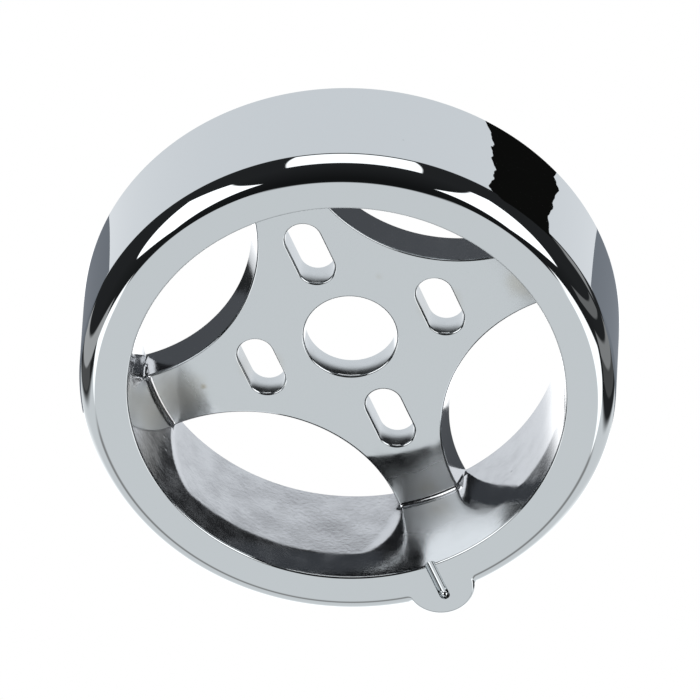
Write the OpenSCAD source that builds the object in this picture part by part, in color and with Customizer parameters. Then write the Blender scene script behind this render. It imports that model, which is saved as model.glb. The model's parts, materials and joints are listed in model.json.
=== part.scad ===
// Chrome-plated cast pulley cover: a short tapered drum with a flat four-arm
// spider at its back, a machined front ring and an index tab with a groove.
// Millimetres. Origin on the bore axis at the back mounting face, +Z towards
// the front ring, +Y towards the index tab. The casting is drawn as its own
// sections, which meet face to face and never overlap.

/* [Drum] */
// Outside diameter at the back edge
back_d = 165; // [150:1:180]
// Height from the back face to the machined front face
depth = 43.6; // [38:0.2:50]
// Draft of the outside wall, in degrees
outer_draft = 2; // [1:0.5:3]
// Radius of the rounded front shoulder
shoulder_r = 7.15; // [6:0.05:8]
// Drop from the front face to the centre of the shoulder's round
shoulder_drop = 7.1; // [5.9:0.05:7.1]
// Radius of the inside wall where the arms join it
root_r = 64.4; // [62:0.1:66]
// Radius of the inside wall just under the front lip
mouth_r = 66.1; // [65.6:0.1:67]
// Width of the small chamfer round the mouth
lip_chamfer = 0.65; // [0.3:0.05:1]
// Thickness of the front ring section
ring_t = 4; // [3:0.5:6]

/* [Spider] */
// Thickness of the spider plate
plate_t = 9.6; // [8:0.1:12]
// Diameter of the centre bore
bore_d = 28.6; // [24:0.1:32]
// Radius of the hub plate section, out to where the four arms begin
hub_r = 46; // [44:0.5:50]
// Radius of the arc that cuts each window
window_r = 50; // [48:0.5:51]
// Distance of each window arc's centre from the axis
window_c = 84.6; // [84:0.1:88]
// Draft of the windows' side walls, in degrees, wider at the front
window_draft = 14; // [0:1:15]
// Edge break on the front edges of the bore and slots
edge_break = 0.7; // [0.3:0.1:0.9]

/* [Slots] */
// Width of every slot
slot_w = 11.1; // [10:0.1:12]
// End-to-end length of the two slots on the tab axis
tab_slot_l = 21.6; // [18:0.1:23]
// Distance of the tab-axis slots from the axis
tab_slot_c = 31.9; // [31:0.1:33]
// End-to-end length of the two slots on the cross axis
cross_slot_l = 20.3; // [18:0.1:22]
// Distance of the cross-axis slots from the axis
cross_slot_c = 29.7; // [29:0.1:31]

/* [Index tab] */
// Radius of the tab's flat top
tab_top_r = 9.6; // [9:0.1:10]
// Width of the break round the tab's top edge
tab_edge = 1; // [0.5:0.1:1.5]
// Thickness of the tab's upright rim below its edge break
tab_rim_h = 2.5; // [2:0.1:4]
// Height of the cone that runs the tab's underside into the drum
tab_under_h = 6; // [5:0.5:8]
// Distance of the tab's centre from the axis
tab_c = 74.5; // [74:0.1:76]
// Width of the index groove
groove_w = 3.2; // [2:0.1:4]
// Depth of the index groove
groove_depth = 2; // [1.8:0.1:2.6]
// Distance of the groove's outer end from the axis
groove_end = 79.6; // [77:0.1:80]

/* [Window pockets] */
// Inside radius of the drum at the back edge, in the windows
pocket_back_r = 65.2; // [64.8:0.1:66]
// Draft of the pocket wall, in degrees
pocket_draft = 0.4; // [0.2:0.1:0.6]

/* [Hidden] */
$fn = 180;

clear = 1;                                // how far a cutter runs past a face
arm_reach = 20;                           // half width of the block an arm is cut from
chrome = [0.80, 0.82, 0.84];              // polished plating
cast_chrome = [0.70, 0.71, 0.73];         // plating over the rougher cast faces
nickel = [0.74, 0.73, 0.69];              // warmer plating in the recesses

// The outside wall's radius at height z, and the shoulder's round, which is
// tangent to that wall and is cut off flat by the front face.
function outer_r(z) = back_d / 2 - z * tan(outer_draft);
shoulder_z = depth - shoulder_drop;
shoulder_c = outer_r(shoulder_z) - shoulder_r / cos(outer_draft);
tangent_r = shoulder_c + shoulder_r * cos(outer_draft);
tangent_z = shoulder_z + shoulder_r * sin(outer_draft);
face_r = shoulder_c + sqrt(pow(shoulder_r, 2) - pow(shoulder_drop, 2));

// The inside wall is a cone from the arm roots up to the mouth.
mouth_z = depth - lip_chamfer;
inner_slope = (mouth_r - root_r) / (mouth_z - plate_t);
function inner_r(z) = root_r + (z - plate_t) * inner_slope;

// Everything inside the inside wall, from below the back face to above the front.
module inside_cone(low, high) {
    translate([0, 0, low])
        cylinder(h = high - low, r1 = inner_r(low), r2 = inner_r(high));
}

// Half section of the drum's solid wall, before the mouth and pockets are cut.
module wall_section() {
    intersection() {
        union() {
            polygon([[root_r - 2 * clear, 0], [back_d / 2, 0], [tangent_r, tangent_z],
                     [shoulder_c, shoulder_z], [shoulder_c, depth], [root_r - 2 * clear, depth]]);
            translate([shoulder_c, shoulder_z]) circle(r = shoulder_r);
        }
        translate([root_r - 2 * clear, 0]) square([back_d / 2, depth]);
    }
}

// One window's cutter, a round column centred on the diagonal. It has its full
// radius at the plate's front face and narrows towards the back by its draft.
module window_column(low, high, draft) {
    translate([window_c, 0, low])
        cylinder(h = high - low, r1 = window_r - (plate_t - low) * tan(draft),
                 r2 = window_r + (high - plate_t) * tan(draft));
}

// The four pockets that widen the inside wall behind and above the windows.
module pockets() {
    top = (pocket_back_r - inner_r(0)) / (inner_slope - tan(pocket_draft));
    for (a = [45 : 90 : 315])
        rotate([0, 0, a]) intersection() {
            window_column(-clear, top + clear, 0);
            translate([0, 0, -clear])
                cylinder(h = top + 2 * clear, r1 = pocket_back_r - clear * tan(pocket_draft),
                         r2 = pocket_back_r + (top + clear) * tan(pocket_draft));
        }
}

// The index groove: open at the ring's inner edge, round at its outer end.
module index_groove() {
    r = groove_w / 2;
    start = root_r - clear;
    bottom = depth - groove_depth;
    translate([-r, start, bottom]) cube([groove_w, groove_end - r - start, groove_depth + clear]);
    translate([0, groove_end - r, bottom]) cylinder(h = groove_depth + clear, r = r);
}

// The barrel stops where the front ring's section begins.
module barrel() {
    color(chrome) difference() {
        rotate_extrude() wall_section();
        inside_cone(-clear, depth + clear);
        pockets();
        translate([0, 0, depth - ring_t]) cylinder(h = ring_t + clear, r = face_r);
        index_groove();
    }
}

module face_ring() {
    color(chrome) difference() {
        rotate_extrude() polygon([[inner_r(depth - ring_t), depth - ring_t], [face_r, depth - ring_t],
                                  [face_r, depth], [mouth_r + lip_chamfer, depth],
                                  [mouth_r, mouth_z]]);
        index_groove();
    }
}

// The tab is a round lug level with the front face; its underside is a cone that
// runs back into the drum.
module index_tab() {
    tab_r = tab_top_r + tab_edge;
    rim_z = depth - tab_edge - tab_rim_h;
    color(chrome) difference() {
        translate([0, tab_c, 0]) rotate_extrude()
            polygon([[0, rim_z - tab_under_h], [tab_r - tab_under_h, rim_z - tab_under_h],
                     [tab_r, rim_z], [tab_r, depth - tab_edge], [tab_top_r, depth],
                     [0, depth]]);
        rotate_extrude() wall_section();
        translate([0, 0, -clear]) cylinder(h = depth + 2 * clear, r = root_r);
        index_groove();
    }
}

// A slot that runs along Y, with a broken front edge.
module slot(length) {
    reach = (length - slot_w) / 2;
    for (end = [-1, 1]) translate([0, end * reach, 0]) {
        translate([0, 0, -clear]) cylinder(h = plate_t + 2 * clear, d = slot_w);
        translate([0, 0, plate_t - edge_break])
            cylinder(h = edge_break + clear, r1 = slot_w / 2, r2 = slot_w / 2 + edge_break + clear);
    }
    translate([-slot_w / 2, -reach, -clear]) cube([slot_w, 2 * reach, plate_t + 2 * clear]);
    translate([0, reach, plate_t - edge_break]) rotate([90, 0, 0]) linear_extrude(2 * reach)
        polygon([[-slot_w / 2, 0], [slot_w / 2, 0],
                 [slot_w / 2 + edge_break + clear, edge_break + clear],
                 [-slot_w / 2 - edge_break - clear, edge_break + clear]]);
}

module hub_plate() {
    color(cast_chrome) difference() {
        cylinder(h = plate_t, r = hub_r);
        for (a = [45 : 90 : 315])
            rotate([0, 0, a]) window_column(-clear, plate_t + clear, window_draft);
        translate([0, 0, -clear]) cylinder(h = plate_t + 2 * clear, d = bore_d);
        translate([0, 0, plate_t - edge_break])
            cylinder(h = edge_break + clear, r1 = bore_d / 2, r2 = bore_d / 2 + edge_break + clear);
        for (side = [-1, 1]) {
            translate([0, side * tab_slot_c, 0]) slot(tab_slot_l);
            translate([side * cross_slot_c, 0, 0]) slot(cross_slot_l);
        }
    }
}

// One arm, drawn along +X, from the hub plate out to the inside wall.
module arm(angle) {
    color(nickel) rotate([0, 0, angle]) difference() {
        intersection() {
            inside_cone(0, plate_t);
            translate([0, -arm_reach, 0]) cube([root_r + clear, 2 * arm_reach, plate_t]);
        }
        translate([0, 0, -clear]) cylinder(h = plate_t + 2 * clear, r = hub_r);
        for (a = [-45, 45])
            rotate([0, 0, a]) window_column(-clear, plate_t + clear, window_draft);
    }
}

module arm_tab_side() { arm(90); }
module arm_far_side() { arm(270); }
module arm_left() { arm(180); }
module arm_right() { arm(0); }

barrel();
face_ring();
index_tab();
hub_plate();
arm_tab_side();
arm_far_side();
arm_left();
arm_right();
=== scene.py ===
"""Looks of a chrome-plated cast pulley cover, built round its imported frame.

The cover is a short drum with a rounded front shoulder, a machined front ring,
an index tab with a groove, and a flat four-arm spider at its back.  Every shape
here is a surface worked out with numpy in millimetres, and put into Blender in
metres, in the frame's own axes: +Z towards the front ring, +Y towards the tab.
"""
import json
import logging
from dataclasses import dataclass, field
from enum import Enum
from math import acos, asin, atan2, cos, degrees, pi, radians, sin, tan
from typing import Any

import bmesh
import bpy
import numpy as np
from mathutils import Matrix, Vector
from mathutils.geometry import tessellate_polygon


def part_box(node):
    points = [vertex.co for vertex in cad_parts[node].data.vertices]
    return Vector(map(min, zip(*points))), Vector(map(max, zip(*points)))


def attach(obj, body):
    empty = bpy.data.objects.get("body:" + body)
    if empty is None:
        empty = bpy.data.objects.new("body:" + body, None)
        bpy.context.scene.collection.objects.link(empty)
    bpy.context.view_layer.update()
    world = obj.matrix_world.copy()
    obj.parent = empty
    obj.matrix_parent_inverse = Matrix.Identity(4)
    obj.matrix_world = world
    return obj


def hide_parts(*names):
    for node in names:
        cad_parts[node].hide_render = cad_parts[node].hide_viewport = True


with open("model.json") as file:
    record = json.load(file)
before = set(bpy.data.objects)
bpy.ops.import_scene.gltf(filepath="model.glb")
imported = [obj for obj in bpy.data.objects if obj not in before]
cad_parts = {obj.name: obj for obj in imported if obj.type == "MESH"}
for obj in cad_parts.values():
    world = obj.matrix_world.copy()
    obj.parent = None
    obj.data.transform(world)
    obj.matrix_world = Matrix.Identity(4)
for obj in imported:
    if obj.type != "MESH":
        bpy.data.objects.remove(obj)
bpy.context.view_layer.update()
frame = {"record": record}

MM = 0.001
WELD_MM = 0.0004
LOG = logging.getLogger("pulley_cover")
SMOOTH = {"interpolation_type": "SMOOTHSTEP"}
Socket = bpy.types.NodeSocket
Tree = bpy.types.NodeTree


class Skin(Enum):
    """Which finish a patch of a piece carries, by its material index."""

    POLISHED = 0
    CAST = 1


def srgb_to_linear(hex_colour: str) -> tuple[float, float, float, float]:
    """Turns an sRGB hex colour into the linear colour that a shader takes.

    Args:
        hex_colour: Six hex digits, such as "c4c7c9".

    Returns:
        Linear red, green, blue and an alpha of one.
    """
    levels = np.array([int(hex_colour[i:i + 2], 16) for i in (0, 2, 4)]) / 255.0
    linear = np.where(levels <= 0.04045, levels / 12.92, ((levels + 0.055) / 1.055) ** 2.4)
    return (*linear.tolist(), 1.0)


def add_node(tree: Tree, kind: str, settings: dict[str, Any] | None = None,
             inputs: dict[Any, Any] | None = None) -> bpy.types.NodeOutputs:
    """Adds one node with its settings, and gives each input a value or a link.

    Args:
        tree: The node tree.
        kind: The node's type name.
        settings: Attributes of the node itself.
        inputs: A plain value or an output socket for each input's name or index.

    Returns:
        The new node's outputs.
    """
    node = tree.nodes.new(kind)
    for name, value in (settings or {}).items():
        setattr(node, name, value)
    for key, value in (inputs or {}).items():
        if isinstance(value, Socket):
            tree.links.new(value, node.inputs[key])
        else:
            node.inputs[key].default_value = value
    return node.outputs


def soft_step(tree: Tree, value: Socket, place: float, soft: float, falls: bool) -> Socket:
    """Steps softly between 0 and 1 where a value passes a place.

    Args:
        tree: The node tree.
        value: The value to follow.
        place: The step's middle.
        soft: Half the step's width.
        falls: Whether the step goes down.

    Returns:
        The step.
    """
    return add_node(tree, "ShaderNodeMapRange", SMOOTH,
                    {"Value": value, "From Min": place - soft, "From Max": place + soft,
                     "To Min": float(falls), "To Max": float(not falls)})[0]


class Shell:
    """A closed surface gathered from grids and flat caps that share their edges."""

    def __init__(self, name: str) -> None:
        """Starts an empty shell.

        Args:
            name: The piece's name.
        """
        self.name = name
        self.points: list[np.ndarray] = []
        self.faces: list[np.ndarray] = []
        self.groups: list[np.ndarray] = []
        self.skins: list[np.ndarray] = []
        self.count = 0

    def _add(self, points: np.ndarray, faces: np.ndarray, skin: Skin) -> None:
        """Keeps one patch, whose faces all get the next group number.

        Args:
            points: Places in millimetres, one row each.
            faces: Corner indices, with -1 as the fourth corner of a triangle.
            skin: The finish of the patch.
        """
        self.points.append(points)
        self.faces.append(np.where(faces < 0, -1, faces + self.count))
        self.groups.append(np.full(len(faces), len(self.groups)))
        self.skins.append(np.full(len(faces), skin.value))
        self.count += len(points)

    def grid(self, points: np.ndarray, skin: Skin) -> None:
        """Adds a grid of quads, one between each four neighbouring grid points.

        Args:
            points: Array of rows, columns and the three coordinates.
            skin: The finish of the patch.
        """
        rows, cols = points.shape[:2]
        index = np.arange(rows * cols).reshape(rows, cols)
        quads = np.stack([index[:-1, :-1], index[:-1, 1:], index[1:, 1:], index[1:, :-1]], -1)
        self._add(points.reshape(-1, 3), quads.reshape(-1, 4), skin)

    def cap(self, loops: list[np.ndarray], skin: Skin) -> None:
        """Fills a flat region: the first loop is its outline and the rest are its holes.

        Args:
            loops: Closed outlines in one plane, without a repeated last point.
            skin: The finish of the patch.
        """
        flat = np.concatenate(loops)
        outlines = [[Vector(point) for point in loop] for loop in loops]
        triangles = np.array(tessellate_polygon(outlines))
        faces = np.column_stack([triangles, np.full(len(triangles), -1)])
        self._add(flat, faces, skin)

    def build(self) -> bpy.types.Object:
        """Welds the patches into one closed mesh with sharp edges where patches meet.

        Returns:
            The finished object at the origin, with its place in its mesh.
        """
        faces = np.concatenate(self.faces)
        corners = [row[:3] if row[3] < 0 else row for row in faces.tolist()]
        mesh = bpy.data.meshes.new(self.name)
        mesh.from_pydata(np.concatenate(self.points) * MM, [], corners)
        mesh.attributes.new("group", "INT", "FACE")
        mesh.attributes["group"].data.foreach_set("value", np.concatenate(self.groups).astype(np.int32))
        mesh.polygons.foreach_set("material_index", np.concatenate(self.skins).astype(np.int32))
        welded = bmesh.new()
        welded.from_mesh(mesh)
        bmesh.ops.remove_doubles(welded, verts=welded.verts, dist=WELD_MM * MM)
        bmesh.ops.recalc_face_normals(welded, faces=welded.faces)
        open_edges = sum(1 for edge in welded.edges if len(edge.link_faces) != 2)
        welded.to_mesh(mesh)
        welded.free()
        mark_patch_edges(mesh)
        LOG.info("%s: %d faces, %d open edges", self.name, len(mesh.polygons), open_edges)
        piece = bpy.data.objects.new(self.name, mesh)
        bpy.context.scene.collection.objects.link(piece)
        return piece


def mark_patch_edges(mesh: bpy.types.Mesh) -> None:
    """Shades a mesh smooth, but for sharp edges where two groups of faces meet.

    Each edge's two face groups come side by side when the corners are sorted by edge.

    Args:
        mesh: A closed mesh with the face attribute "group".
    """
    edge_of = np.empty(len(mesh.loops), np.int32)
    mesh.loops.foreach_get("edge_index", edge_of)
    sizes = np.empty(len(mesh.polygons), np.int32)
    mesh.polygons.foreach_get("loop_total", sizes)
    group = np.empty(len(mesh.polygons), np.int32)
    mesh.attributes["group"].data.foreach_get("value", group)
    order = np.argsort(edge_of, kind="stable")
    edges = edge_of[order]
    groups = np.repeat(group, sizes)[order]
    meets = (edges[1:] == edges[:-1]) & (groups[1:] != groups[:-1])
    sharp = np.zeros(len(mesh.edges), bool)
    sharp[edges[1:][meets]] = True
    mesh.polygons.foreach_set("use_smooth", np.ones(len(mesh.polygons), bool))
    mesh.edges.foreach_set("use_edge_sharp", sharp)
    mesh.attributes.remove(mesh.attributes["group"])
    mesh.update()


def ring(radius: np.ndarray | float, turn: np.ndarray, height: np.ndarray | float) -> np.ndarray:
    """Gives points at a radius, turned clockwise from +Y as seen from the front.

    Args:
        radius: Distance from the axis in millimetres.
        turn: Angle from the tab's axis towards +X, in radians.
        height: Distance from the back face in millimetres.

    Returns:
        Points as an array whose last axis is x, y, z.
    """
    radius, turn, height = np.broadcast_arrays(radius, turn, height)
    return np.stack([radius * np.sin(turn), radius * np.cos(turn), height], -1)


def smooth_step(value: np.ndarray) -> np.ndarray:
    """Runs smoothly from 0 to 1 as the value does: 3v^2 - 2v^3, clipped."""
    clipped = np.clip(value, 0.0, 1.0)
    return clipped * clipped * (3.0 - 2.0 * clipped)


@dataclass
class Drum:
    """The drum wall with its shoulder, front ring, tab and groove, in millimetres."""

    back_r: float
    depth: float
    plate_t: float
    tab_reach: float
    outer_draft: float = 2.0
    shoulder_r: float = 7.15
    shoulder_drop: float = 7.1
    root_r: float = 64.4
    mouth_r: float = 66.1
    lip_round: float = 0.65
    lip_rows: int = 8
    back_break: float = 0.5
    tab_top_r: float = 9.6
    tab_edge_round: float = 1.0
    tab_rim_h: float = 2.5
    tab_least_r: float = 1.0
    tab_fillet: float = 1.6
    groove_r: float = 1.6
    groove_depth: float = 2.0
    groove_end: float = 79.6
    pocket_r: float = 65.2
    pocket_draft: float = 0.4
    pocket_edge_deg: float = 3.6
    arm_half_width: float = 10.0
    arm_edge_round: float = 0.7
    root_fillet: float = 1.3
    tab_zone_deg: float = 11.0
    tab_columns: int = 48
    rim_columns: int = 342
    shoulder_rows: int = 52
    lower_rows: int = 15
    upper_rows: int = 20
    upper_share: float = 0.8
    floor_rows: int = 10
    groove_side_rows: int = 13
    groove_end_rows: int = 25
    close_deg: float = 1.4
    close_columns: int = 27
    even_columns: int = 433
    least_gap_deg: float = 0.03
    pocket_shift: float = 0.35
    pocket_fade: float = 3.0
    pocket_step: float = 0.12
    arm_rows: int = 9
    fillet_rows: int = 13
    wall_rows: int = 44
    name: str = field(default="chromed_drum", init=False)

    @property
    def mouth_z(self) -> float:
        """Height where the inside wall meets the lip's round."""
        return self.depth - self.lip_round

    @property
    def tab_r(self) -> float:
        """Radius of the tab's upright rim, outside its rounded top edge."""
        return self.tab_top_r + self.tab_edge_round

    @property
    def tab_c(self) -> float:
        """Distance of the tab's centre from the axis."""
        return self.tab_reach - self.tab_r

    def cone_r(self, height: np.ndarray | float) -> np.ndarray | float:
        """Radius of the plain inside wall, a cone from the arm roots to the mouth."""
        slope = (self.mouth_r - self.root_r) / (self.mouth_z - self.plate_t)
        return self.root_r + (height - self.plate_t) * slope

    def mouth_profile(self, height: np.ndarray) -> np.ndarray:
        """Radius of the inside wall up to the mouth, and of the lip's quarter round above it.

        Above the mouth the radius grows by e - sqrt(e^2 - h^2) at a height h over the mouth,
        where e is the round's radius.

        Args:
            height: Heights above the back face.

        Returns:
            Radii in millimetres.
        """
        over = np.clip(height - self.mouth_z, 0.0, self.lip_round)
        grown = self.mouth_r + self.lip_round - np.sqrt(self.lip_round ** 2 - over ** 2)
        return np.where(over > 0.0, grown, self.cone_r(height))

    def outer_rows(self) -> tuple[np.ndarray, np.ndarray]:
        """Works out the outside profile: a drafted wall, then the shoulder's round.

        Returns:
            Heights and radii of the profile's points, from the back edge to the face.
        """
        draft = radians(self.outer_draft)
        centre_z = self.depth - self.shoulder_drop
        centre_r = self.back_r - centre_z * tan(draft) - self.shoulder_r / cos(draft)
        sweep = np.linspace(draft, asin(self.shoulder_drop / self.shoulder_r),
                            self.shoulder_rows)
        arc_z = centre_z + self.shoulder_r * np.sin(sweep)
        arc_r = centre_r + self.shoulder_r * np.cos(sweep)
        split_z = self.upper_share * arc_z[0]
        lower_z = np.linspace(self.back_break, split_z, self.lower_rows)[:-1]
        wall_z = np.concatenate([lower_z, np.linspace(split_z, arc_z[0], self.upper_rows)[:-1]])
        wall_r = self.back_r - wall_z * tan(draft)
        heights = np.concatenate([[0.0], wall_z, arc_z])
        radii = np.concatenate([[wall_r[0] - self.back_break], wall_r, arc_r])
        return heights, radii

    def outline(self, wall_r: np.ndarray, tab_r: np.ndarray) -> np.ndarray:
        """Traces each row's outline: the rim's circle, the tab's circle, and fillets between.

        Half the tab's stretch has three arcs, laid end to end and evenly stepped: the tab's
        own arc, the fillet that touches both circles, and the rim's arc.  The fillet's centre
        is a fillet radius outside both circles, so the cosine rule gives its bearing.

        Args:
            wall_r: The rim's radius in each row.
            tab_r: The tab's radius in each row.

        Returns:
            Rows, columns and x, y, starting and ending on the tab's axis.
        """
        wall = wall_r[:, None]
        tab = tab_r[:, None]
        fillet = self.tab_fillet
        reach = wall + fillet
        cosine = (reach ** 2 + self.tab_c ** 2 - (tab + fillet) ** 2) / (2 * reach * self.tab_c)
        bearing = np.arccos(np.clip(cosine, -1.0, 1.0))
        fillet_x = reach * np.sin(bearing)
        fillet_y = reach * np.cos(bearing)
        tab_sweep = np.arctan2(fillet_x, fillet_y - self.tab_c)
        zone = radians(self.tab_zone_deg)
        tab_length = tab * tab_sweep
        fillet_length = fillet * (tab_sweep - bearing)
        total = tab_length + fillet_length + wall * (zone - bearing)
        along = total * np.linspace(0.0, 1.0, self.tab_columns + 1)
        on_tab = along / tab
        on_fillet = tab_sweep - (along - tab_length) / fillet
        on_wall = bearing + (along - tab_length - fillet_length) / wall
        x = np.where(along < tab_length, tab * np.sin(on_tab), fillet_x - fillet * np.sin(on_fillet))
        y = np.where(along < tab_length, self.tab_c + tab * np.cos(on_tab),
                     fillet_y - fillet * np.cos(on_fillet))
        past = along >= tab_length + fillet_length
        x = np.where(past, wall * np.sin(on_wall), x)
        y = np.where(past, wall * np.cos(on_wall), y)
        turn = np.linspace(zone, 2 * pi - zone, self.rim_columns + 1)[1:-1]
        x = np.hstack([x, wall * np.sin(turn), -x[:, ::-1]])
        y = np.hstack([y, wall * np.cos(turn), y[:, ::-1]])
        return np.stack([x, y], -1)

    def outside(self) -> np.ndarray:
        """Stacks the outlines from the back edge to the face, round the tab's own profile.

        The tab has a rounded top edge and an upright rim, and under the rim its radius
        shrinks by a millimetre for each millimetre of depth until the drum swallows it.

        Returns:
            Grid points of the outside wall, shoulder and tab.
        """
        heights, radii = self.outer_rows()
        edge_z = self.depth - self.tab_edge_round
        over = np.clip(heights - edge_z, 0.0, self.tab_edge_round)
        under = np.clip(edge_z - self.tab_rim_h - heights, 0.0, self.tab_r - self.tab_least_r)
        tab = self.tab_top_r + np.sqrt(self.tab_edge_round ** 2 - over ** 2) - under
        plan = self.outline(radii, tab)
        level = np.broadcast_to(heights[:, None, None], (*plan.shape[:2], 1))
        return np.concatenate([plan, level], -1)

    def groove_rows(self) -> tuple[np.ndarray, np.ndarray]:
        """Works out half the groove's section: a quarter round floor and an upright side.

        Its last rows are the lip's own rows, so that the two surfaces share their edges.

        Returns:
            Distances from the groove's middle, and heights, from the floor upwards.
        """
        centre_z = self.depth - self.groove_depth + self.groove_r
        lip_angle = acos((centre_z - self.mouth_z) / self.groove_r)
        sweep = np.linspace(0.0, lip_angle, self.floor_rows)
        lip_z = self.mouth_z + self.lip_round * np.sin(np.linspace(0.0, pi / 2, self.lip_rows))
        below = np.clip(centre_z - lip_z, 0.0, None)
        aside = np.concatenate([self.groove_r * np.sin(sweep[:-1]),
                                np.sqrt(self.groove_r ** 2 - below ** 2)])
        heights = np.concatenate([centre_z - self.groove_r * np.cos(sweep[:-1]), lip_z])
        return aside, heights

    def wall_columns(self) -> np.ndarray:
        """Places the inside wall's columns, closer together beside the arms.

        Returns:
            Shares of a full turn from the tab's axis, from 0 to 1.
        """
        edge = degrees(asin(self.arm_half_width / self.root_r))
        close = np.linspace(-self.close_deg, self.close_deg, self.close_columns)
        beside = [90 * arm + side * edge + close for arm in range(4) for side in (-1, 1)]
        even = np.linspace(0.0, 360.0, self.even_columns)
        turns = np.sort(np.concatenate([even, np.mod(np.concatenate(beside), 360.0)]))
        apart = np.concatenate([[True], np.diff(turns) > self.least_gap_deg])
        return turns[apart] / 360.0

    def inside_r(self, turn: np.ndarray, height: np.ndarray) -> np.ndarray:
        """Gives the inside wall's radius: the cone, its arched pockets, and the arm fillets.

        A pocket fills each window's arch, whose half width falls with height as an ellipse
        does, with a soft edge a few degrees wide.  The fillet is the quarter round that
        stands off the wall by r - sqrt(r^2 - (r - d)^2) at a distance d from the arm.

        Args:
            turn: Angles from the tab's axis, in radians.
            height: Heights above the back face.

        Returns:
            Radii in millimetres.
        """
        cone = self.cone_r(height)
        arm_deg = degrees(asin(self.arm_half_width / self.root_r))
        from_arm = np.abs((np.degrees(turn) + 45.0) % 90.0 - 45.0)
        from_middle = 45.0 - from_arm
        rise = np.clip((height - self.plate_t) / (self.mouth_z - self.plate_t), 0.0, 1.0)
        arch = (45.0 - arm_deg) * np.sqrt(1.0 - rise ** 2)
        inside = smooth_step((arch - from_middle) / self.pocket_edge_deg + self.pocket_shift)
        pocket = self.pocket_r + height * tan(radians(self.pocket_draft))
        fade = smooth_step((1.0 - rise) * self.pocket_fade)
        depth = np.clip(pocket - cone + self.pocket_step * fade, 0.0, None)
        wall = cone + depth * inside * fade
        soft = self.arm_edge_round
        aside = self.root_r * np.sin(np.radians(from_arm)) - (self.arm_half_width - soft)
        above = height - (self.plate_t - soft)
        gap = np.hypot(np.clip(aside, 0.0, None), np.clip(above, 0.0, None)) - soft
        near = np.clip(self.root_fillet - gap, 0.0, self.root_fillet)
        return wall - (self.root_fillet - np.sqrt(self.root_fillet ** 2 - near ** 2))

    def inside(self) -> tuple[np.ndarray, np.ndarray]:
        """Builds the inside wall and the lip, both notched round the groove's section.

        Below the groove a row is a full turn.  Beside the groove a row starts and ends on
        the groove's section, so its columns are squeezed by that small angle.

        Returns:
            Grid points of the inside wall, and of the lip's round.
        """
        aside, notch_z = self.groove_rows()
        top = notch_z[0]
        bend = np.linspace(0.0, pi / 2, self.fillet_rows)
        fillet = self.plate_t + self.root_fillet * (1.0 - np.cos(bend))
        arm_edge = self.plate_t - self.arm_edge_round
        below = np.concatenate([np.linspace(0.0, arm_edge, self.arm_rows),
                                self.plate_t - self.arm_edge_round * np.linspace(0.8, 0.2, 4)])
        between = np.linspace(fillet[-1], top, self.wall_rows)[1:-1]
        heights = np.concatenate([below, fillet, between, notch_z])
        start = np.concatenate([np.zeros(len(heights) - len(aside)), aside])[:, None]
        level = heights[:, None]
        plain = self.mouth_profile(level)
        start_turn = np.arcsin(start / plain)
        turn = start_turn + (2 * pi - 2 * start_turn) * self.wall_columns()
        mouth_row = len(heights) - self.lip_rows
        on_lip = np.arange(len(heights))[:, None] >= mouth_row
        radius = np.where(on_lip, plain, self.inside_r(turn, level))
        points = ring(radius, turn, level)
        return points[:mouth_row + 1], points[mouth_row:]

    def groove(self) -> np.ndarray:
        """Carries half the groove's section along one side, round the end, and back.

        Returns:
            Grid points, one row for each place along the path.
        """
        aside, heights = self.groove_rows()
        start_y = np.sqrt(self.mouth_profile(heights) ** 2 - aside ** 2)
        end_y = self.groove_end - self.groove_r
        step = np.linspace(0.0, 1.0, self.groove_side_rows)[:, None]
        side_y = start_y + (end_y - start_y) * step
        sweep = np.linspace(0.0, pi, self.groove_end_rows)[1:-1, None]
        x = np.vstack([aside + 0 * step, aside * np.cos(sweep), -aside + 0 * step])
        y = np.vstack([side_y, end_y + aside * np.sin(sweep), side_y[::-1]])
        return np.stack([x, y, np.broadcast_to(heights, x.shape)], -1)

    def build(self) -> bpy.types.Object:
        """Joins the outside, face, groove, lip, inside wall and back into one shell.

        Returns:
            The drum's object.
        """
        shell = Shell(self.name)
        outside = self.outside()
        wall, lip = self.inside()
        groove = self.groove()
        shell.grid(outside[1:], Skin.POLISHED)
        shell.grid(outside[:2], Skin.POLISHED)
        shell.grid(wall, Skin.CAST)
        shell.grid(lip, Skin.POLISHED)
        shell.grid(groove, Skin.POLISHED)
        mouth = np.concatenate([lip[-1], groove[::-1, -1][1:-1]])
        shell.cap([outside[-1, :-1], mouth], Skin.POLISHED)
        shell.cap([outside[0, :-1], wall[0, :-1]], Skin.CAST)
        return shell.build()

    def dress(self, piece: bpy.types.Object, finishes: dict[Skin, bpy.types.Material]) -> None:
        """Gives the drum its two finishes, hides the frame's sections that it stands for, and hangs it
        on the root body.

        Args:
            piece: The drum's object.
            finishes: The material for each skin.
        """
        for skin in Skin:
            piece.data.materials.append(finishes[skin])
        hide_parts("barrel", "face_ring", "index_tab")
        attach(piece, "root")


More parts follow.
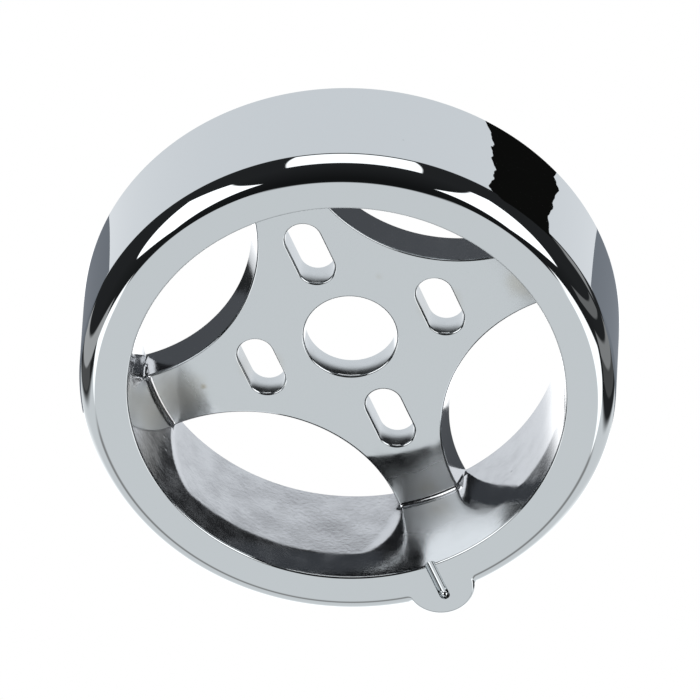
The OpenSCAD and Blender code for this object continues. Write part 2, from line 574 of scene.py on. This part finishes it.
@dataclass
class Spider:
    """The flat four-arm plate with its bore, slots and windows, in millimetres."""

    plate_t: float
    bore_r: float
    slot_r: float
    tab_slot_l: float
    tab_slot_c: float
    cross_slot_l: float
    cross_slot_c: float
    root_r: float
    back_root_r: float
    window_r: float = 50.0
    window_c: float = 84.6
    window_draft: float = 14.0
    edge_round: float = 0.7
    back_break: float = 0.4
    bury: float = 1.0
    round_rows: int = 9
    window_columns: int = 97
    arm_end_columns: int = 15
    slot_end_columns: int = 33
    bore_columns: int = 180
    name: str = field(default="plated_spider", init=False)

    def plan(self, window_r: float, end_r: float) -> np.ndarray:
        """Traces the plate: a window's arc, then an arm's end, four times round.

        A window's arc ends where its circle crosses the arm's end circle, and the cosine
        rule gives that angle.

        Args:
            window_r: Radius of the windows' arcs.
            end_r: Radius at which the arms end.

        Returns:
            The outline's points as x, y, without a repeated last point.
        """
        cosine = (self.window_c ** 2 + window_r ** 2 - end_r ** 2) / (2 * self.window_c * window_r)
        half = acos(cosine)
        sweep = np.linspace(-half, half, self.window_columns)
        arc_x = self.window_c - window_r * np.cos(sweep)
        arc_y = window_r * np.sin(sweep)
        edge = atan2(arc_y[-1], arc_x[-1])
        turn = np.linspace(edge, pi / 2 - edge, self.arm_end_columns)[1:-1]
        x = np.concatenate([arc_x, end_r * np.cos(turn)])
        y = np.concatenate([arc_y, end_r * np.sin(turn)])
        angles = radians(45.0) + np.arange(4) * pi / 2
        spin_x = x * np.cos(angles)[:, None] - y * np.sin(angles)[:, None]
        spin_y = x * np.sin(angles)[:, None] + y * np.cos(angles)[:, None]
        return np.stack([spin_x.ravel(), spin_y.ravel()], -1)

    def slot(self, centre: tuple[float, float], length: float, grow: float) -> np.ndarray:
        """Traces a slot along Y: two half circles joined by its straight sides.

        Args:
            centre: The slot's middle as x, y.
            length: Its length from end to end.
            grow: How far the outline stands outside the slot.

        Returns:
            The outline's points as x, y.
        """
        half = np.linspace(0.0, pi, self.slot_end_columns)
        radius = self.slot_r + grow
        reach = length / 2 - self.slot_r
        x = np.concatenate([radius * np.cos(half), -radius * np.cos(half)])
        y = np.concatenate([reach + radius * np.sin(half), -reach - radius * np.sin(half)])
        return np.stack([x + centre[0], y + centre[1]], -1)

    def bore(self, grow: float) -> np.ndarray:
        """Traces the centre bore's circle, grown by a little where its edge is rounded."""
        turn = np.linspace(0.0, 2 * pi, self.bore_columns + 1)[:-1]
        return (self.bore_r + grow) * np.stack([np.cos(turn), np.sin(turn)], -1)

    def levels(self) -> list[tuple[float, float, float]]:
        """Lists the rows of every side wall: how far back from the edge, height, arm end.

        The front edge is a quarter round, the back edge a small chamfer.  The arms run a
        little way into the drum's wall, except at the back face, where they meet it.

        Returns:
            For each row its offset, its height and the arm ends' radius.
        """
        rows = []
        for sweep in np.linspace(0.0, pi / 2, self.round_rows):
            offset = self.edge_round * (1.0 - sin(sweep))
            height = self.plate_t - self.edge_round * (1.0 - cos(sweep))
            rows.append((offset, height, self.root_r + self.bury))
        rows.append((0.0, self.back_break, self.root_r + self.bury / 2))
        rows.append((self.back_break, 0.0, self.back_root_r))
        return rows

    def window_edge(self, offset: float, height: float) -> float:
        """Gives a row's window radius: it narrows towards the back by the walls' draft."""
        drop = max(self.plate_t - self.edge_round - height, 0.0)
        return self.window_r + offset - drop * tan(radians(self.window_draft))

    def build(self) -> bpy.types.Object:
        """Carries the edge section round each outline and caps the front and back.

        Returns:
            The spider's object.
        """
        shell = Shell(self.name)
        stacks: list[list[np.ndarray]] = [[] for _ in range(6)]
        for offset, height, end_r in self.levels():
            outlines = [self.plan(self.window_edge(offset, height), end_r), self.bore(offset)]
            for side in (-1, 1):
                outlines.append(self.slot((0.0, side * self.tab_slot_c), self.tab_slot_l, offset))
                outlines.append(self.slot((side * self.cross_slot_c, 0.0), self.cross_slot_l, offset))
            for stack, outline in zip(stacks, outlines):
                stack.append(np.column_stack([outline, np.full(len(outline), height)]))
        for stack in stacks:
            rows = np.stack(stack)
            closed = np.concatenate([rows, rows[:, :1]], 1)
            if stack is stacks[0]:
                shell.grid(closed[:self.round_rows], Skin.POLISHED)
                shell.grid(closed[self.round_rows - 1:-1], Skin.CAST)
            else:
                shell.grid(closed[:-1], Skin.POLISHED)
            shell.grid(closed[-2:], Skin.CAST)
        shell.cap([stack[0] for stack in stacks], Skin.POLISHED)
        shell.cap([stack[-1] for stack in stacks], Skin.CAST)
        return shell.build()

    def dress(self, piece: bpy.types.Object, finishes: dict[Skin, bpy.types.Material]) -> None:
        """Gives the spider its finishes, hides the frame's sections that it stands for, and hangs it on
        the root body.

        Args:
            piece: The spider's object.
            finishes: The material for each skin.
        """
        for skin in Skin:
            piece.data.materials.append(finishes[skin])
        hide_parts("hub_plate", "arm_tab_side", "arm_far_side", "arm_left", "arm_right")
        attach(piece, "root")


@dataclass(frozen=True)
class Stain:
    """A soft-edged mark on a face, by its place and size in millimetres."""

    x: float
    y: float
    radius: float
    soft: float
    strength: float


@dataclass(frozen=True)
class ChromeFinish:
    """Bright chromium plate over cast aluminium, from mirror polished to as cast.

    The plate is one mirror-like metal throughout.  What differs is the metal under it: a
    buffed face keeps only a slow waviness, and an as-cast face keeps its grain.
    """

    name: str
    colour: str
    roughness: float
    roughness_spread: float
    wave_mm: float
    wave_height_mm: float
    grain_mm: float
    grain_height_mm: float
    pit_mm: float
    pit_strength: float
    stains: tuple[Stain, ...] = ()
    stain_colour: str = "a89f86"
    root_band: tuple[float, float] | None = None
    root_roughness: float = 0.0
    stain_roughness: float = 0.12
    sound_grain: float = 0.06
    grime_mm: float = 9.0
    blotch_mm: float = 6.0
    blotch_range: tuple[float, float] = (0.35, 0.7)
    pit_spacing: float = 14.0
    pit_edge: float = 0.07
    pit_depth_mm: float = 0.05

    def build(self) -> bpy.types.Material:
        """Builds the material's nodes.

        Returns:
            The material.
        """
        material = bpy.data.materials.new(self.name)
        material.use_nodes = True
        tree = material.node_tree
        tree.nodes.clear()
        place = add_node(tree, "ShaderNodeTexCoord")["Object"]
        colour: Any = srgb_to_linear(self.colour)
        stained = None
        if self.stains:
            stained = self._stain_mask(tree, place)
            colour = add_node(tree, "ShaderNodeMix", {"data_type": "RGBA"},
                              {"Factor": stained, 6: colour,
                               7: srgb_to_linear(self.stain_colour)})[2]
        surface = add_node(tree, "ShaderNodeBsdfPrincipled", None,
                           {"Base Color": colour, "Metallic": 1.0,
                            "Roughness": self._roughness(tree, place, stained),
                            "Normal": self._relief(tree, place)})
        add_node(tree, "ShaderNodeOutputMaterial", None, {"Surface": surface["BSDF"]})
        return material

    def _noise(self, tree: Tree, place: Socket, size_mm: float, detail: float) -> Socket:
        """Adds a noise whose blotches are about size_mm across, and gives its 0 to 1 value."""
        return add_node(tree, "ShaderNodeTexNoise", None,
                        {"Vector": place, "Scale": 1.0 / (size_mm * MM), "Detail": detail,
                         "Roughness": 0.55})["Fac"]

    def _stain_mask(self, tree: Tree, place: Socket) -> Socket:
        """Keeps the strongest stain, each fading out past its radius and broken by a noise.

        Args:
            tree: The node tree.
            place: The Object coordinates.

        Returns:
            A mask from 0 to 1.
        """
        grime = self._noise(tree, place, self.grime_mm, 4.0)
        level = None
        flat = add_node(tree, "ShaderNodeVectorMath", {"operation": "MULTIPLY"},
                        {0: place, 1: (1.0, 1.0, 0.0)})[0]
        for stain in self.stains:
            centre = (stain.x * MM, stain.y * MM, 0.0)
            away = add_node(tree, "ShaderNodeVectorMath", {"operation": "DISTANCE"},
                            {0: flat, 1: centre})["Value"]
            wander = add_node(tree, "ShaderNodeMath", {"operation": "MULTIPLY_ADD"},
                              {0: grime, 1: stain.soft * MM, 2: away})[0]
            near = add_node(tree, "ShaderNodeMapRange", SMOOTH,
                            {"Value": wander, "From Min": stain.radius * MM,
                             "From Max": (stain.radius + stain.soft) * MM,
                             "To Min": stain.strength, "To Max": 0.0})[0]
            level = near if level is None else add_node(
                tree, "ShaderNodeMath", {"operation": "MAXIMUM"}, {0: level, 1: near})[0]
        return level

    def _roughness(self, tree: Tree, place: Socket, stained: Socket | None) -> Socket:
        """Varies the roughness in slow blotches, and raises it where the plate is stained.

        Args:
            tree: The node tree.
            place: The Object coordinates.
            stained: The stain mask, if the finish has stains.

        Returns:
            The roughness.
        """
        blotch = self._noise(tree, place, self.blotch_mm, 3.0)
        spread = add_node(tree, "ShaderNodeMapRange", None,
                          {"Value": blotch, "From Min": self.blotch_range[0],
                           "From Max": self.blotch_range[1], "To Min": self.roughness,
                           "To Max": self.roughness + self.roughness_spread})[0]
        if self.root_band is not None:
            coarse = self._root_ramp(tree, place, 0.0, self.root_roughness)
            spread = add_node(tree, "ShaderNodeMath", {"operation": "ADD"},
                              {0: spread, 1: coarse})[0]
        if stained is None:
            return spread
        return add_node(tree, "ShaderNodeMath", {"operation": "MULTIPLY_ADD"},
                        {0: stained, 1: self.stain_roughness, 2: spread})[0]

    def _root_ramp(self, tree: Tree, place: Socket, low: float, high: float) -> Socket:
        """Runs from the low to the high value across the band of radii at the arms' roots.

        Args:
            tree: The node tree.
            place: The Object coordinates.
            low: The value inside the band.
            high: The value outside it.

        Returns:
            The value at each place.
        """
        flat = add_node(tree, "ShaderNodeVectorMath", {"operation": "MULTIPLY"},
                        {0: place, 1: (1.0, 1.0, 0.0)})[0]
        radius = add_node(tree, "ShaderNodeVectorMath", {"operation": "LENGTH"},
                          {0: flat})["Value"]
        return add_node(tree, "ShaderNodeMapRange", SMOOTH,
                        {"Value": radius, "From Min": self.root_band[0] * MM,
                         "From Max": self.root_band[1] * MM,
                         "To Min": low, "To Max": high})[0]

    def _relief(self, tree: Tree, place: Socket) -> Socket:
        """Stacks the waviness under the grain, the grain only near the roots if there is a band.

        Args:
            tree: The node tree.
            place: The Object coordinates.

        Returns:
            The bumped normal.
        """
        wave = add_node(tree, "ShaderNodeBump", None,
                        {"Strength": 1.0, "Distance": self.wave_height_mm * MM,
                         "Height": self._noise(tree, place, self.wave_mm, 1.0)})[0]
        strength: Any = 1.0
        if self.root_band is not None:
            strength = self._root_ramp(tree, place, self.sound_grain, 1.0)
        grain = add_node(tree, "ShaderNodeBump", None,
                         {"Strength": strength, "Distance": self.grain_height_mm * MM,
                          "Height": self._noise(tree, place, self.grain_mm, 5.0),
                          "Normal": wave})[0]
        pits = add_node(tree, "ShaderNodeTexVoronoi", None,
                        {"Vector": place,
                         "Scale": 1.0 / (self.pit_mm * self.pit_spacing * MM)})["Distance"]
        dimple = add_node(tree, "ShaderNodeMapRange", SMOOTH,
                          {"Value": pits, "From Min": 0.0, "From Max": self.pit_edge})[0]
        return add_node(tree, "ShaderNodeBump", None,
                        {"Strength": self.pit_strength, "Distance": self.pit_depth_mm * MM,
                         "Height": dimple, "Normal": grain})[0]


# Buffed before plating: the eye gets sharp, cool reflections with a faint slow waviness.
POLISHED_CHROME = ChromeFinish(
    name="chromium_plate_over_buffed_aluminium", colour="c5c9cb",
    roughness=0.008, roughness_spread=0.02, wave_mm=24.0, wave_height_mm=0.012,
    grain_mm=2.5, grain_height_mm=0.0005, pit_mm=0.5, pit_strength=0.12)

# Plated over the cast skin: the eye gets reflections broken by grain into soft patches.
CAST_CHROME = ChromeFinish(
    name="chromium_plate_over_cast_skin", colour="c6c8cb", stain_colour="b0aa99",
    roughness=0.07, roughness_spread=0.07, wave_mm=24.0, wave_height_mm=0.12,
    grain_mm=1.3, grain_height_mm=0.013, pit_mm=0.8, pit_strength=0.25,
    stains=(Stain(66.0, 0.0, 7.0, 9.0, 0.3), Stain(-66.0, 0.0, 7.0, 9.0, 0.3)))

# Lightly ground before plating: the eye gets a soft mirror, grainy and tinted at the roots.
SPIDER_CHROME = ChromeFinish(
    name="chromium_plate_over_ground_face", colour="c5c9cb",
    roughness=0.05, roughness_spread=0.05, wave_mm=16.0, wave_height_mm=0.02,
    grain_mm=1.6, grain_height_mm=0.03, pit_mm=0.5, pit_strength=0.3,
    stains=(Stain(29.7, 0.0, 6.0, 5.0, 0.25), Stain(-29.7, 0.0, 6.0, 5.0, 0.3),
            Stain(57.0, 0.0, 6.0, 8.0, 0.28), Stain(-57.0, 0.0, 5.0, 7.0, 0.3),
            Stain(0.0, 60.0, 3.0, 7.0, 0.25), Stain(-16.3, -16.8, 0.6, 3.0, 0.25),
            Stain(49.2, 0.0, 0.4, 2.4, 0.7)),
    root_band=(44.0, 60.0), root_roughness=0.3)


@dataclass(frozen=True)
class Card:
    """A bright or dark studio card, by the directions it fills as seen from the cover.

    Bearings are degrees round from -Y towards +X, and heights are degrees above the floor.
    A card's lower edge may rise on both sides of a low point, by rise for each degree.
    """

    name: str
    bearing: float
    half_width: float
    low: float
    high: float
    level: float
    soft: float = 1.5
    colour: str = "ffffff"
    rise: float = 0.0
    low_point: float = 0.0


CARDS = (
    Card("floor_sheet", 15.0, 180.0, -100.0, -54.0, 1.04, 1.2, "f8fbff"),
    Card("grey_wall_behind", 155.0, 52.0, -52.0, 77.0, 0.985, 2.5, "fafdff"),
    Card("wall_shade", 155.0, 40.0, 27.0, 37.0, 0.36, 3.5),
    Card("bright_floor_behind", 150.0, 34.0, -60.0, -8.0, 1.9, 12.0),
    Card("softbox_behind_left", -153.0, 15.0, 35.0, 62.0, 1.9, 1.0),
    Card("softbox_behind_right", 104.0, 9.0, 37.0, 57.0, 1.9, 1.0),
    Card("flag_left_edge", -142.0, 3.5, -52.0, 28.0, 0.1, 0.6),
    Card("strip_left", -134.0, 4.0, -34.0, 28.0, 0.33, 1.0),
    Card("strip_left_thin", -119.5, 3.0, -20.0, 37.0, 0.21, 0.6),
    Card("low_patch_left", -114.0, 8.0, -46.0, -29.0, 0.42, 2.0),
    Card("strip_right", 90.5, 4.5, -36.0, 44.0, 0.55, 1.0),
    Card("flag_right", 97.5, 3.0, -24.0, 22.0, 0.12, 0.6),
    Card("low_sheet", -23.6, 22.5, -47.0, 8.5, 1.9, 0.5),
    Card("softbox_left", -86.5, 23.0, 8.0, 64.0, 2.2, 0.7, "ffffff", 0.8, -70.0),
    Card("softbox_right", 41.0, 23.0, -9.0, 57.0, 2.2, 0.7, "ffffff", 1.4, 33.0),
)


@dataclass(frozen=True)
class Scrap:
    """A sheet lying beside the cover, by its corners in millimetres and its brightness."""

    name: str
    corners: tuple[tuple[float, float], ...]
    colour: str
    level: float
    ragged: float = 0.0


SCRAPS = (
    Scrap("dark_cloth", ((-125.0, -14.0), (-99.0, -17.5), (-77.0, -26.0), (-60.0, -38.0),
                         (-64.0, -50.5), (-78.0, -49.0), (-92.0, -50.5), (-125.0, -55.0)),
          "121211", 1.0, 0.7),
    Scrap("slate_sheet_left", ((-125.0, 52.0), (-94.5, 14.5), (-79.0, -8.0), (-66.0, 20.0),
                               (-66.0, 75.0), (-120.0, 75.0)), "8f959e", 0.85),
    Scrap("slate_sheet_right", ((45.0, -64.0), (74.5, -58.5), (125.0, -48.0), (125.0, 0.0),
                                (60.0, 0.0), (50.0, -50.0)), "8f959e", 0.75),
)


@dataclass
class Studio:
    """The camera, the pale floor and the cards that the chrome mirrors."""

    camera_mm: tuple[float, float, float] = (-389.55, -812.68, 1434.23)
    aim_mm: tuple[float, float, float] = (-7.4, -15.14, 43.6)
    roll_deg: float = -176.616
    lens_mm: float = 282.86
    sensor_mm: float = 36.0
    floor_r_mm: float = 4000.0
    clear_r_mm: float = 82.7
    # Ring of painted shade under the cover: its radius, its depth and its top.
    shade_ring_r_mm: float = 70.0
    shade_ring_h_mm: float = 30.0
    floor_rows: int = 25
    floor_columns: int = 65
    flat_share: float = 0.8
    floor_rise: float = 5.0
    floor_z_mm: float = -0.2
    scrap_z_mm: float = -0.1
    shade_ring_z_mm: float = -0.3
    side_steps: int = 24
    wander_rates: tuple[float, ...] = (0.31, 0.83, 1.9)
    room_low: tuple[float, float] = (15.0, 0.028)
    room_high: tuple[float, float] = (80.0, 0.012)

    def place_camera(self) -> None:
        """Stands the camera at its viewpoint, aimed at the front ring and rolled."""
        data = bpy.data.cameras.new("camera")
        data.lens = self.lens_mm
        data.sensor_width = self.sensor_mm
        data.clip_start = 0.05
        data.clip_end = 50.0
        camera = bpy.data.objects.new("camera", data)
        bpy.context.scene.collection.objects.link(camera)
        forward = (Vector(self.aim_mm) - Vector(self.camera_mm)).normalized()
        turned = forward.to_track_quat("-Z", "Y").to_matrix()
        rolled = turned @ Matrix.Rotation(radians(self.roll_deg), 3, "Z")
        camera.matrix_world = Matrix.Translation(Vector(self.camera_mm) * MM) @ rolled.to_4x4()
        bpy.context.scene.camera = camera

    def lay_floor(self) -> None:
        """Lays a plain white sheet that sweeps up behind everything.

        It is flat out to four fifths of its radius, then rises as a stretched quarter
        circle.  The chrome mirrors the cards instead of it.
        """
        spread = np.linspace(0.0, 1.0, self.floor_rows)[:, None]
        turn = np.linspace(0.0, 2 * pi, self.floor_columns)[None, :]
        flat_r = self.flat_share * self.floor_r_mm
        curve_r = self.floor_r_mm - flat_r
        sweep = np.clip((spread - 0.5) * 2.0, 0.0, 1.0) * pi / 2
        radius = np.where(spread <= 0.5, flat_r * spread * 2.0, flat_r + curve_r * np.sin(sweep))
        height = np.where(spread <= 0.5, 0.0, curve_r * (1.0 - np.cos(sweep)) * self.floor_rise)
        shell = Shell("floor_sheet")
        shell.grid(ring(radius, turn, height + self.floor_z_mm), Skin.POLISHED)
        floor = shell.build()
        floor.data.materials.append(self._glow("white_paper_sheet", "ffffff", 1.0))
        floor.visible_glossy = False
        floor.visible_diffuse = False
        floor.visible_shadow = False

    def lay_scraps(self) -> None:
        """Lays the sheets beside the cover, which only its chrome shows.

        A sheet's outline is stepped evenly along its sides and wanders by a few sines of
        the distance along it, which gives the dark cloth its ragged edge.  Any point that
        would lie under the cover is pushed out to just past its wall.
        """
        for scrap in SCRAPS:
            corners = np.array(scrap.corners)
            step = np.linspace(0.0, 1.0, self.side_steps, endpoint=False)[:, None]
            sides = np.roll(corners, -1, 0) - corners
            rim = (corners[:, None] + sides[:, None] * step).reshape(-1, 2)
            count = np.arange(len(rim))
            waves = sum(np.sin(count * rate + rate * 7.0) / (rate + 0.4)
                        for rate in self.wander_rates)
            middle = rim.mean(0)
            away = (rim - middle) / np.linalg.norm(rim - middle, axis=1)[:, None]
            rim = rim + away * (scrap.ragged * waves)[:, None]
            reach = np.linalg.norm(rim, axis=1)[:, None]
            rim = rim * np.maximum(self.clear_r_mm / reach, 1.0)
            points = np.column_stack([rim, np.full(len(rim), self.scrap_z_mm)])
            shell = Shell(scrap.name)
            shell.cap([points], Skin.POLISHED)
            sheet = shell.build()
            sheet.data.materials.append(self._glow(scrap.name, scrap.colour, scrap.level))
            sheet.visible_camera = False
            sheet.visible_shadow = False

    def stand_shade_ring(self) -> None:
        """Stands a grey ring under the cover, seen only in the chrome, as painted shade for the shaded
        floor under the cover. It keeps low side light out of the windows.
        """
        turn = np.linspace(0.0, 2 * pi, 97)[None, :]
        height = np.array([[self.shade_ring_z_mm], [-self.shade_ring_h_mm]])
        shell = Shell("painted_shade_ring")
        shell.grid(ring(self.shade_ring_r_mm, turn, height), Skin.POLISHED)
        shade_ring = shell.build()
        # Painted shade: a dim grey glow that stands in for the floor shaded under the cover.
        shade_ring.data.materials.append(self._glow("painted_under_shade", "5a5d61", 1.0))
        shade_ring.visible_camera = False
        shade_ring.visible_shadow = False

    def _glow(self, name: str, colour: str, level: float) -> bpy.types.Material:
        """Builds an evenly lit sheet's material.

        Args:
            name: The material's name.
            colour: Its sRGB hex colour.
            level: Its brightness.

        Returns:
            The material.
        """
        material = bpy.data.materials.new(name)
        material.use_nodes = True
        tree = material.node_tree
        tree.nodes.clear()
        glow = add_node(tree, "ShaderNodeEmission", None,
                        {"Color": srgb_to_linear(colour), "Strength": level})
        add_node(tree, "ShaderNodeOutputMaterial", None, {"Surface": glow[0]})
        return material

    def hang_cards(self) -> None:
        """Fills the world with the cards, each laid over those before it."""
        world = bpy.data.worlds.new("studio")
        bpy.context.scene.world = world
        world.use_nodes = True
        tree = world.node_tree
        tree.nodes.clear()
        way = add_node(tree, "ShaderNodeTexCoord")["Generated"]
        axes = add_node(tree, "ShaderNodeSeparateXYZ", None, {0: way})
        back = add_node(tree, "ShaderNodeMath", {"operation": "MULTIPLY"}, {0: axes[1], 1: -1.0})
        bearing = add_node(tree, "ShaderNodeMath", {"operation": "ARCTAN2"},
                           {0: axes[0], 1: back[0]})[0]
        height = add_node(tree, "ShaderNodeMath", {"operation": "ARCSINE"}, {0: axes[2]})[0]
        level = add_node(tree, "ShaderNodeMapRange", None,
                         {"Value": height, "From Min": radians(self.room_low[0]),
                          "From Max": radians(self.room_high[0]),
                          "To Min": self.room_low[1], "To Max": self.room_high[1]})[0]
        room = add_node(tree, "ShaderNodeVectorMath", {"operation": "SCALE"},
                        {0: srgb_to_linear("f4f9ff")[:3], "Scale": level})[0]
        for card in CARDS:
            room = self._lay_card(tree, card, bearing, height, room)
        light = add_node(tree, "ShaderNodeBackground", None, {"Color": room, "Strength": 1.0})
        add_node(tree, "ShaderNodeOutputWorld", None, {"Surface": light[0]})

    def _lay_card(self, tree: Tree, card: Card, bearing: Socket, height: Socket,
                  below: Socket) -> Socket:
        """Lays one card's level over what is already there.

        Args:
            tree: The world's node tree.
            card: The card.
            bearing: Each direction's bearing in radians.
            height: Each direction's height in radians.
            below: The light so far.

        Returns:
            The light with the card laid over it.
        """
        soft = radians(card.soft)
        offset = add_node(tree, "ShaderNodeMath", {"operation": "SUBTRACT"},
                          {0: bearing, 1: radians(card.bearing)})[0]
        turned = add_node(tree, "ShaderNodeMath", {"operation": "WRAP"},
                          {0: offset, 1: pi, 2: -pi})[0]
        away = add_node(tree, "ShaderNodeMath", {"operation": "ABSOLUTE"}, {0: turned})[0]
        across = soft_step(tree, away, radians(card.half_width), soft, True)
        tip = add_node(tree, "ShaderNodeMath", {"operation": "SUBTRACT"},
                       {0: bearing, 1: radians(card.low_point)})[0]
        slant = add_node(tree, "ShaderNodeMath", {"operation": "ABSOLUTE"}, {0: tip})[0]
        raised = add_node(tree, "ShaderNodeMath", {"operation": "MULTIPLY_ADD"},
                          {0: slant, 1: -card.rise, 2: height})[0]
        above = soft_step(tree, raised, radians(card.low), soft, False)
        under = soft_step(tree, height, radians(card.high), soft, True)
        upright = add_node(tree, "ShaderNodeMath", {"operation": "MULTIPLY"}, {0: above, 1: under})
        mask = add_node(tree, "ShaderNodeMath", {"operation": "MULTIPLY"},
                        {0: across, 1: upright[0]})[0]
        glow = [channel * card.level for channel in srgb_to_linear(card.colour)[:3]]
        return add_node(tree, "ShaderNodeMix", {"data_type": "RGBA"},
                        {0: mask, 6: below, 7: (*glow, 1.0)})[2]


def mount_dims(name: str) -> dict[str, float]:
    """Gives the dimensions of one of the record's mounts, in millimetres."""
    mounts = {mount["name"]: mount["dims"] for mount in frame["record"]["mounts"]}
    return mounts[name]


def make_drum() -> Drum:
    """Takes the drum's outer sizes from the frame.

    Returns:
        The drum with its sizes.
    """
    back_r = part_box("barrel")[1].x / MM
    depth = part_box("face_ring")[1].z / MM
    plate_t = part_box("hub_plate")[1].z / MM
    tab_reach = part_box("index_tab")[1].y / MM
    return Drum(back_r=back_r, depth=depth, plate_t=plate_t, tab_reach=tab_reach)


def make_spider(drum: Drum) -> Spider:
    """Takes the spider's thickness and holes from the frame, and its reach from the drum.

    Args:
        drum: The drum that the arms run into.

    Returns:
        The spider with its sizes.
    """
    tab_slots = mount_dims("tab_axis_slots")
    cross_slots = mount_dims("cross_axis_slots")
    return Spider(
        plate_t=drum.plate_t, bore_r=mount_dims("centre_bore")["r_mm"],
        slot_r=tab_slots["hole_r_mm"],
        tab_slot_l=tab_slots["slot_length_mm"], tab_slot_c=tab_slots["spacing_y_mm"] / 2,
        cross_slot_l=cross_slots["slot_length_mm"], cross_slot_c=cross_slots["spacing_x_mm"] / 2,
        root_r=drum.root_r, back_root_r=float(drum.cone_r(0.0)) + 0.02)


def main() -> None:
    """Builds the studio and the cover's pieces in order."""
    logging.basicConfig(level=logging.INFO, format="%(name)s: %(message)s")
    bpy.context.scene.view_settings.view_transform = "Standard"
    studio = Studio()
    studio.place_camera()
    studio.lay_floor()
    studio.lay_scraps()
    studio.stand_shade_ring()
    studio.hang_cards()
    polished = POLISHED_CHROME.build()
    cast = CAST_CHROME.build()
    ground = SPIDER_CHROME.build()
    drum = make_drum()
    drum_piece = drum.build()
    drum.dress(drum_piece, {Skin.POLISHED: polished, Skin.CAST: cast})
    spider = make_spider(drum)
    spider_piece = spider.build()
    spider.dress(spider_piece, {Skin.POLISHED: ground, Skin.CAST: cast})


if __name__ == "__main__":
    main()
